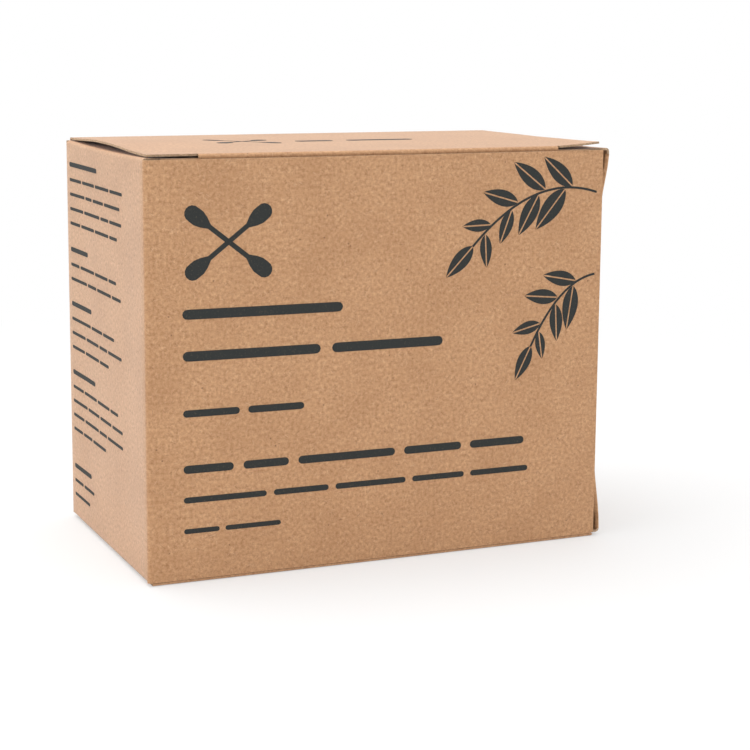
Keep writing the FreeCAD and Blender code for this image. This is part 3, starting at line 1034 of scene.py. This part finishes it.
    def fold(self, across: float, run: float, ear: bool) -> Vector:
        """Gives the folded place of a point of the sheet.

        Args:
            across: Place from left to right.
            run: Distance along the sheet from the fold's start.
            ear: True where the sheet stays flat past the fold's start.

        Returns:
            The point on the outer face.
        """
        bend, top = self.board.bend, self.board.top
        forward = self.fold_bow * (1 - (across / self.half_width) ** 2)
        share = min(max(1 + run / self.span, 0.0), 1.0)
        bowed = self.fold_front + bend - forward
        side = self.narrowed(across, share)
        if run <= 0 or ear:
            flat_end = self.edge_line(across) - self.roll
            turn = max(-run - self.span, 0.0) / self.roll
            depth = bowed * share + flat_end * (1 - share) + self.roll * math.sin(turn)
            if ear:
                depth = bowed - run
            height = top - self.roll * (1 - math.cos(turn))
            return Vector((side, depth, height + self.crowned(across, share) + self.lifted(across, depth)))
        turn = run / bend
        limit = math.pi / 2 + self.lean
        if turn <= limit + 1e-9:
            return Vector((side, bowed - bend * math.sin(turn), top - bend + bend * math.cos(turn)))
        down = run - bend * limit
        end_y = bowed - bend * math.sin(limit)
        end_z = top - bend + bend * math.cos(limit)
        return Vector((side, end_y + down * math.sin(self.lean), end_z - down * math.cos(self.lean)))

    def narrowed(self, across: float, share: float) -> float:
        """Draws the right side in a little: at the bottom closure's crease, or towards the top one's fold.

        Args:
            across: Place from left to right.
            share: Share of the way from the crease to the fold.

        Returns:
            The place with the right side drawn in.
        """
        much = 1 - ease(share, 0.0, 0.05) if self.upturned else ease(share, 0.6, 1.0)
        return across * (1 - self.trim * much) if across > 0 else across

    def crowned(self, across: float, share: float) -> float:
        """How far the panel stands up between its crease and its fold, most at its left edge.

        Args:
            across: Place from left to right.
            share: Share of the way from the crease to the fold.

        Returns:
            The height above the flat panel.
        """
        if self.upturned:
            return 0.0
        hump = ease(share, 0.0, 0.4) * (1 - ease(share, 0.5, 0.97))
        leftness = ease(-across, 0.1 * self.half_width, self.half_width)
        return self.crown * hump * (0.15 + 0.85 * leftness)

    def lifted(self, across: float, depth: float) -> float:
        """How far the panel's front right corner is bent up.

        Args:
            across: Place from left to right.
            depth: Place from front to back.

        Returns:
            The height above the flat panel.
        """
        if self.upturned:
            return 0.0
        aside = (across - (self.half_width - self.slit)) / self.slit
        front = self.fold_front + self.board.bend
        along = 1 - (depth - front) / self.lift_length
        past = aside + along - 1
        return self.lift * 0.92 * max(past, 0.0) ** 1.3 if along > 0 and aside > 0 else 0.0


@dataclass(frozen=True)
class Line:
    """A line of print, in millimetres on its wall, broken into bars."""

    left: float
    right: float
    low: float
    high: float
    bars: int


HAIR = 0.01 * MM
FRONT_LINES = (
    Line(-40.2, -9.5, 48.6, 50.4, 1),
    Line(-40.2, 11.0, 41.0, 42.8, 2),
    Line(-40.2, -17.0, 30.8, 32.1, 2),
    Line(-40.2, 29.0, 20.4, 21.9, 5),
    Line(-40.2, 30.0, 14.9, 16.0, 5),
    Line(-40.2, -21.5, 9.2, 10.1, 2),
)
FRONT_SPRIGS = (
    (((44.0, 69.0), (30.0, 73.5), (17.0, 59.5)), 10.5, 4),
    (((44.0, 53.0), (36.0, 52.0), (30.0, 39.5)), 9.5, 3),
)
LEFT_MARGIN = -25.0
LEFT_PITCH = 2.9
LEFT_HEIGHT = 0.6
LEFT_BLOCKS = (
    (73.0, (20, 37, 35, 36, 33)),
    (56.0, (12, 32, 35)),
    (45.0, (14, 30, 35, 26)),
    (31.0, (16, 32, 35, 35, 23)),
    (11.5, (12, 14, 11)),
)


def round_end(from_end: float, radius: float) -> float:
    """Half width of a round-ended bar.

    Args:
        from_end: Distance from its nearer end.
        radius: Radius of its ends.

    Returns:
        Half of its width there.
    """
    return radius if from_end >= radius else math.sqrt(max(radius**2 - (radius - from_end) ** 2, 0.0))


def oval(share: float, length: float) -> float:
    """Half width of a rounded leaf with a short tip.

    Args:
        share: Share of its length.
        length: Its length.

    Returns:
        Half of its width there.
    """
    return 0.2 * length * math.sin(math.pi * share**0.8) ** 0.8


@dataclass
class Print:
    """Charcoal print as thin closed plates that follow a wall: bars, crossed swabs and leafy sprigs."""

    board: Board
    finishes: Finishes
    height: float = 0.05 * MM
    sink: float = 0.02 * MM
    half_vein: float = 0.14 * MM
    half_stem: float = 0.22 * MM

    def ribbon(
        self,
        mesh: bmesh.types.BMesh,
        path: Callable[[float], Vector],
        inner: Callable[[float], float],
        outer: Callable[[float], float],
        length: float,
    ) -> None:
        """Adds a flat shape along a path, between two offsets from it.

        Args:
            mesh: The mesh to add to.
            path: Gives the path's place for a share of its length.
            inner: Offset of the shape's first side, for a share of the length.
            outer: Offset of its other side.
            length: The path's length, which sets the number of segments.
        """
        count = max(int(length / (1.2 * MM)), 20)
        shares = [0.5 - 0.5 * math.cos(math.pi * step / count) for step in range(count + 1)]
        for point in bmesh.ops.create_grid(mesh, x_segments=count, y_segments=1, size=1.0)["verts"]:
            share = shares[round((point.co.x + 1) / 2 * count)]
            ahead = (path(min(share + 0.01, 1)) - path(max(share - 0.01, 0))).normalized()
            offset = inner(share) if point.co.y < 0 else outer(share)
            place = path(share) + Vector((-ahead.y, ahead.x)) * offset
            point.co = (place.x, place.y, 0)

    def shape(
        self,
        mesh: bmesh.types.BMesh,
        start: Vector,
        end: Vector,
        half_width: Callable[[float, float], float],
    ) -> None:
        """Adds a straight shape that is the same on both sides of its middle line.

        Args:
            mesh: The mesh to add to.
            start: One end.
            end: The other end.
            half_width: Gives half of its width for a share of the length, and the length.
        """
        length = (end - start).length
        self.ribbon(
            mesh,
            lambda share: start.lerp(end, share),
            lambda share: -half_width(share, length) - HAIR,
            lambda share: half_width(share, length) + HAIR,
            length,
        )

    def bar(self, mesh: bmesh.types.BMesh, left: float, right: float, low: float, high: float) -> None:
        """Adds a level bar with round ends.

        Args:
            mesh: The mesh to add to.
            left: Its left end.
            right: Its right end.
            low: Its lower side.
            high: Its upper side.
        """
        middle = (low + high) / 2
        radius = (high - low) / 2
        self.shape(
            mesh,
            Vector((left, middle)),
            Vector((right, middle)),
            lambda share, length: round_end(min(share, 1 - share) * length, radius),
        )

    def broken_line(self, mesh: bmesh.types.BMesh, line: Line, draws: random.Random) -> None:
        """Adds a line of bars with gaps between them.

        Args:
            mesh: The mesh to add to.
            line: The line's place and number of bars.
            draws: Source of the bars' uneven lengths.
        """
        weights = [draws.uniform(0.6, 1.5) for _ in range(line.bars)]
        gap = (line.high - line.low) * 1.25
        room = line.right - line.left - gap * (line.bars - 1)
        start = line.left
        for weight in weights:
            end = start + room * weight / sum(weights)
            self.bar(mesh, start * MM, end * MM, line.low * MM, line.high * MM)
            start = end + gap

    def crossed_swabs(self, mesh: bmesh.types.BMesh, centre: Point, size: float) -> None:
        """Adds a plain sign of two crossed swabs.

        Args:
            mesh: The mesh to add to.
            centre: Where they cross.
            size: Length of a swab.
        """

        def swab(share: float, length: float) -> float:
            """Half width of a swab: a thin stick with a round head at each end."""
            from_end = min(share, 1 - share) * length
            head = round_end(from_end, 0.075 * length)
            neck = ease(from_end, 0.17 * length, 0.26 * length)
            return head * (1 - neck) + 0.022 * length * neck

        for turn in (math.radians(38), math.radians(142)):
            ahead = Vector((math.cos(turn), math.sin(turn))) * size / 2
            self.shape(mesh, Vector(centre) - ahead, Vector(centre) + ahead, swab)

    def leaf(self, mesh: bmesh.types.BMesh, start: Vector, end: Vector) -> None:
        """Adds a rounded leaf as two halves with a bare vein between them.

        Args:
            mesh: The mesh to add to.
            start: The leaf's root.
            end: Its tip.
        """
        length = (end - start).length
        for side in (-1, 1):
            self.ribbon(
                mesh,
                lambda share: start.lerp(end, share),
                lambda share: side * min(self.half_vein, 0.5 * oval(share, length)),
                lambda share: side * (oval(share, length) + HAIR),
                length,
            )

    def sprig(self, mesh: bmesh.types.BMesh, points: Sequence[Point], leaf: float, pairs: int) -> None:
        """Adds an arching stem with pairs of rounded leaves and one at its tip.

        Args:
            mesh: The mesh to add to.
            points: The stem's start, bend and tip.
            leaf: Length of its longest leaf.
            pairs: Number of leaf pairs.
        """
        first, bend, last = (Vector(point) * MM for point in points)

        def stem(share: float) -> Vector:
            """A place on the stem."""
            return first * (1 - share) ** 2 + bend * 2 * share * (1 - share) + last * share**2

        length = (last - first).length
        self.ribbon(mesh, stem, lambda share: -self.half_stem, lambda share: self.half_stem, length)
        for index in range(pairs):
            share = (index + 1) / (pairs + 0.6)
            heading = (stem(share + 0.05) - stem(share - 0.05)).normalized()
            for side in (-1, 1):
                root = stem(share + 0.03 * side)
                turn = side * math.radians(46 + 7 * math.sin(index * 2.1 + side))
                size = leaf * MM * (1 - 0.4 * share) * (1 + 0.08 * math.sin(index * 1.7 + side))
                ahead = Matrix.Rotation(turn, 2) @ heading
                self.leaf(mesh, root + ahead * 0.5 * MM, root + ahead * size)
        self.leaf(mesh, last, last + (last - stem(0.93)).normalized() * leaf * 0.75 * MM)

    def finish(
        self,
        mesh: bmesh.types.BMesh,
        name: str,
        body: str,
        surface: Callable[[float, float], Vector],
        normal: Vector,
    ) -> bpy.types.Object:
        """Lays the flat shapes on a wall and closes them as thin plates.

        Args:
            mesh: The flat shapes.
            name: The piece's name.
            body: The body that it rides on.
            surface: Gives the wall's place for a flat one.
            normal: The way that the wall faces.

        Returns:
            The finished piece.
        """
        for point in mesh.verts:
            point.co = surface(point.co.x, point.co.y) - normal * self.sink
        bmesh.ops.recalc_face_normals(mesh, faces=mesh.faces)
        flipped = [face for face in mesh.faces if face.normal.dot(normal) < 0]
        bmesh.ops.reverse_faces(mesh, faces=flipped)
        piece = new_object(name, mesh, [self.finishes.ink])
        solid = piece.modifiers.new("ink_thickness", "SOLIDIFY")
        solid.thickness = self.height
        solid.offset = 1
        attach(piece, body)
        LOG.info("%s: %d faces", piece.name, len(piece.data.polygons))
        return piece

    def front(self) -> None:
        """Prints the front wall: a sign, broken bars and two sprigs."""
        mesh = bmesh.new()
        draws = random.Random(3)
        self.crossed_swabs(mesh, (-31.5 * MM, 62.3 * MM), 20 * MM)
        for line in FRONT_LINES:
            self.broken_line(mesh, line, draws)
        for points, leaf, pairs in FRONT_SPRIGS:
            self.sprig(mesh, points, leaf, pairs)
        self.finish(
            mesh,
            "front_print",
            "carton",
            lambda across, height: Vector((across, self.board.front(across, height), height)),
            Vector((0, -1, 0)),
        )

    def left(self) -> None:
        """Prints the left wall: blocks of thin broken bars."""
        mesh = bmesh.new()
        draws = random.Random(5)
        for top, lengths in LEFT_BLOCKS:
            for index, length in enumerate(lengths):
                low = top - index * LEFT_PITCH - LEFT_HEIGHT
                bars = 1 if index == 0 else max(round(length / 9), 1)
                high = low + LEFT_HEIGHT * (1.5 if index == 0 else 1)
                self.broken_line(mesh, Line(LEFT_MARGIN, LEFT_MARGIN + length, low, high, bars), draws)
        self.finish(
            mesh,
            "left_print",
            "carton",
            lambda across, height: Vector((self.board.left(-across, height), -across, height)),
            Vector((-1, 0, 0)),
        )

    def top(self, closure: Closure) -> None:
        """Prints the top panel: the crossed swabs and a broken bar beside them.

        Args:
            closure: The top closure, whose panel is printed.
        """
        mesh = bmesh.new()
        self.crossed_swabs(mesh, (-19 * MM, 1 * MM), 16 * MM)
        self.broken_line(mesh, Line(-8, 17, -0.4, 2.0, 2), random.Random(8))

        def surface(across: float, depth: float) -> Vector:
            """A place on the panel's outer face."""
            front = closure.fold_front + self.board.bend
            share = 1 - (depth - front) / (closure.crease - front)
            return Vector((across, depth, self.board.top + closure.crowned(across, share)))

        self.finish(mesh, "top_print", closure.body, surface, Vector((0, 0, 1)))


# Half of a cotton head's outline: radius and distance from its blunt end, in millimetres
HEAD_OUTLINE = ((0.0, 0.0), (1.1, 0.3), (1.85, 1.5), (2.2, 4.2), (1.8, 9.2), (1.14, 13.0))


@dataclass
class Swabs:
    """The upright bundle: bamboo sticks with a wound cotton head at each end."""

    finishes: Finishes
    pitch: float = 4.9 * MM
    count: int = 200
    squeeze: float = 0.981
    shift: float = 0.55 * MM
    jitter: float = 0.1 * MM
    seed: int = 7
    head_sides: int = 8
    stick_sides: int = 8
    stick_radius: float = 1.1 * MM
    uneven: float = 0.3 * MM

    def build(self) -> None:
        """Builds the three groups of the bundle."""
        draws = random.Random(self.seed)
        places = self.places()
        offsets = [
            Vector((draws.uniform(-1, 1) * self.jitter, draws.uniform(-1, 1) * self.jitter, 0))
            for _ in places
        ]
        heights = [draws.uniform(-0.3, 0.3) * MM for _ in places]
        spots = list(zip(places, offsets, heights))
        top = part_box("upper_cotton_tips")[1].z - self.uneven
        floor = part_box("lower_cotton_tips")[0].z + self.uneven
        self.group("upper_heads", "upper_cotton_tips", spots, self.head(), top, Slot.COTTON)
        self.group("lower_heads", "lower_cotton_tips", spots, self.head(), floor, Slot.COTTON, turned=True)
        self.group("sticks", "swab_sticks", spots, self.stick(), 0.0, Slot.STICK)

    def places(self) -> list[Vector]:
        """Centres of the swabs in plan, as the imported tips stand."""
        low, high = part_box("upper_cotton_tips")
        row_pitch = self.pitch * math.sin(math.pi / 3)
        per_row = round((high.x - low.x) / self.pitch)
        rows = round((high.y - low.y) / row_pitch)
        made = []
        for row in range(rows):
            in_row = per_row - row % 2
            depth = (row - (rows - 1) / 2) * row_pitch
            for column in range(in_row):
                across = (column - (in_row - 1) / 2) * self.pitch
                made.append(Vector((across * self.squeeze - self.shift, depth, 0)))
        return made[: self.count]

    def head(self) -> bmesh.types.BMesh:
        """One cotton head with its blunt end up at height 0, spun from half of its outline."""
        mesh = bmesh.new()
        points = [mesh.verts.new((radius * MM, 0, -down * MM)) for radius, down in HEAD_OUTLINE]
        edges = [mesh.edges.new(pair) for pair in zip(points, points[1:])]
        bmesh.ops.spin(
            mesh,
            geom=points + edges,
            axis=(0, 0, 1),
            cent=(0, 0, 0),
            angle=2 * math.pi,
            steps=self.head_sides,
            use_merge=True,
        )
        bmesh.ops.remove_doubles(mesh, verts=mesh.verts, dist=0.01 * MM)
        bmesh.ops.holes_fill(mesh, edges=[edge for edge in mesh.edges if edge.is_boundary])
        bmesh.ops.recalc_face_normals(mesh, faces=mesh.faces)
        return mesh

    def stick(self) -> bmesh.types.BMesh:
        """One stick that runs into both heads."""
        low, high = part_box("swab_sticks")
        mesh = bmesh.new()
        bmesh.ops.create_cone(
            mesh,
            cap_ends=True,
            segments=self.stick_sides,
            radius1=self.stick_radius,
            radius2=self.stick_radius,
            depth=high.z - low.z,
            matrix=Matrix.Translation((0, 0, (low.z + high.z) / 2)),
        )
        return mesh

    def group(
        self,
        name: str,
        node: str,
        spots: Sequence[tuple[Vector, Vector, float]],
        pattern: bmesh.types.BMesh,
        level: float,
        slot: Slot,
        turned: bool = False,
    ) -> None:
        """Copies one pattern to every swab's place as one piece.

        Args:
            name: The piece's name.
            node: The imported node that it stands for.
            spots: For each swab its centre, a small shift in plan and a small shift in height.
            pattern: The shape to copy, which is freed.
            level: Height of the pattern's origin.
            slot: The record's material slot.
            turned: True to turn the pattern upside down.
        """
        source = bpy.data.meshes.new(f"{name}_pattern")
        pattern.to_mesh(source)
        pattern.free()
        mesh = bmesh.new()
        flip = Matrix.Rotation(math.pi, 4, "X") if turned else Matrix.Identity(4)
        for place, offset, height in spots:
            before = len(mesh.verts)
            mesh.from_mesh(source)
            mesh.verts.ensure_lookup_table()
            added = mesh.verts[before:]
            spun = Matrix.Rotation(place.x * 900 + place.y * 1700, 4, "Z")
            raised = level if turned else level + height
            shift = Matrix.Translation(place + offset + Vector((0, 0, raised)))
            bmesh.ops.transform(mesh, matrix=shift @ flip @ spun, verts=added)
        for face in mesh.faces:
            face.smooth = True
        bpy.data.meshes.remove(source)
        material = self.finishes.cotton if slot is Slot.COTTON else self.finishes.bamboo
        piece = new_object(name, mesh, [material])
        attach(piece, "carton")
        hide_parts(node)
        LOG.info("%s: %d faces", piece.name, len(piece.data.polygons))


LIGHTS = (
    ("overhead", (-0.12, 0.08, 0.75), 0.9, 6.9),
    ("left_side", (-0.8, 0.05, 0.3), 0.7, 1.1),
    ("front_fill", (0.13, -0.55, 0.16), 0.35, 0.62),
)


@dataclass
class Studio:
    """Pale floor, white surround, soft lights and the camera."""

    camera_place: Vector = field(default_factory=lambda: Vector((-0.1400, -0.3408, 0.1008)))
    heading: float = math.radians(23.607)
    pitch: float = math.radians(9.312)
    roll: float = math.radians(0.426)
    lens: float = 89.5
    shift: float = -0.06
    ambient: tuple[float, float] = (0.49, 0.31)
    white_from: float = 0.28
    near_white: float = 0.45

    def build(self) -> None:
        """Sets up the whole studio."""
        scene = bpy.context.scene
        scene.view_settings.view_transform = "Standard"
        self.add_floor()
        self.add_world()
        self.add_camera()
        for name, place, size, power in LIGHTS:
            self.add_light(name, Vector(place), size, power)

    def add_floor(self) -> None:
        """Adds a floor that keeps the object's shadow and turns plain white further off, to the camera."""
        mesh = bmesh.new()
        bmesh.ops.create_grid(mesh, x_segments=1, y_segments=1, size=6.0)
        shader = Shader.new("studio_floor")
        shader.surface.inputs["Base Color"].default_value = (0.9, 0.9, 0.9, 1)
        shader.surface.inputs["Roughness"].default_value = 0.9
        shader.surface.inputs["Specular IOR Level"].default_value = 0.0
        where = shader.add("ShaderNodeTexCoord").outputs["Object"]
        away = shader.add("ShaderNodeVectorMath", operation="LENGTH")
        shader.link(where, away.inputs[0])
        path = shader.add("ShaderNodeLightPath").outputs["Is Camera Ray"]
        white = shader.add("ShaderNodeEmission")
        share = shader.add("ShaderNodeMath", operation="MULTIPLY")
        shader.link(path, share.inputs[0])
        fade = shader.remap(away.outputs["Value"], 0.05, self.white_from, self.near_white, 1.0)
        shader.link(fade, share.inputs[1])
        mixed = shader.add("ShaderNodeMixShader")
        shader.link(share.outputs[0], mixed.inputs["Fac"])
        shader.link(shader.surface.outputs[0], mixed.inputs[1])
        shader.link(white.outputs[0], mixed.inputs[2])
        shader.link(mixed.outputs[0], shader.material.node_tree.nodes["Material Output"].inputs["Surface"])
        floor = new_object("studio_floor", mesh, [shader.material])
        floor.location.z = -0.05 * MM

    def add_world(self) -> None:
        """Makes the surround white to the camera, and a softer light that fades from left to right."""
        world = bpy.data.worlds.new("studio")
        bpy.context.scene.world = world
        world.use_nodes = True
        nodes, links = world.node_tree.nodes, world.node_tree.links
        background = nodes["Background"]
        background.inputs["Color"].default_value = (1, 1, 1, 1)
        path = nodes.new("ShaderNodeLightPath")
        seen = None
        for name in ("Is Camera Ray", "Is Glossy Ray", "Is Transmission Ray"):
            if seen is None:
                seen = path.outputs[name]
                continue
            either = nodes.new("ShaderNodeMath")
            either.operation = "MAXIMUM"
            links.new(seen, either.inputs[0])
            links.new(path.outputs[name], either.inputs[1])
            seen = either.outputs[0]
        parts = nodes.new("ShaderNodeSeparateXYZ")
        links.new(nodes.new("ShaderNodeTexCoord").outputs["Generated"], parts.inputs[0])
        sides = nodes.new("ShaderNodeMapRange")
        for name, amount in zip(("From Min", "From Max", "To Min", "To Max"), (-1, 1, *self.ambient)):
            sides.inputs[name].default_value = amount
        links.new(parts.outputs["X"], sides.inputs["Value"])
        level = nodes.new("ShaderNodeMix")
        level.inputs[3].default_value = 1.0
        links.new(seen, level.inputs[0])
        links.new(sides.outputs["Result"], level.inputs[2])
        links.new(level.outputs[0], background.inputs["Strength"])

    def add_light(self, name: str, place: Vector, size: float, power: float) -> None:
        """Adds a square area light that faces the carton.

        Args:
            name: The light's name.
            place: Where it hangs.
            size: Its side length.
            power: Its power in watts.
        """
        data = bpy.data.lights.new(name, "AREA")
        data.shape = "SQUARE"
        data.size = size
        data.energy = power
        lamp = bpy.data.objects.new(name, data)
        lamp.location = place
        lamp.rotation_euler = (Vector((0, 0, 0.04)) - place).to_track_quat("-Z", "Y").to_euler()
        bpy.context.scene.collection.objects.link(lamp)

    def add_camera(self) -> None:
        """Adds the camera at the photograph's angle."""
        data = bpy.data.cameras.new("camera")
        data.lens = self.lens
        data.sensor_width = 36.0
        data.shift_y = self.shift
        data.clip_start = 0.01
        camera = bpy.data.objects.new("camera", data)
        turn = Matrix.Rotation(-self.heading, 4, "Z") @ Matrix.Rotation(math.pi / 2 - self.pitch, 4, "X")
        rolled = turn @ Matrix.Rotation(self.roll, 4, "Z")
        camera.matrix_world = Matrix.Translation(self.camera_place) @ rolled
        bpy.context.scene.collection.objects.link(camera)
        bpy.context.scene.camera = camera


def main() -> None:
    """Builds every piece in order."""
    logging.basicConfig(level=logging.INFO, format="%(name)s %(message)s")
    board = Board()
    finishes = Finishes()
    WallSheet(board, finishes).build()
    lid = Closure("top_lid_board", "top_closure", "top_lid", board, finishes, upturned=False)
    lid.build()
    Closure("bottom_lid_board", "bottom_closure", "bottom_lid", board, finishes, upturned=True).build()
    ink = Print(board, finishes)
    ink.front()
    ink.left()
    ink.top(lid)
    Swabs(finishes).build()
    Studio().build()


if __name__ == "__main__":
    main()
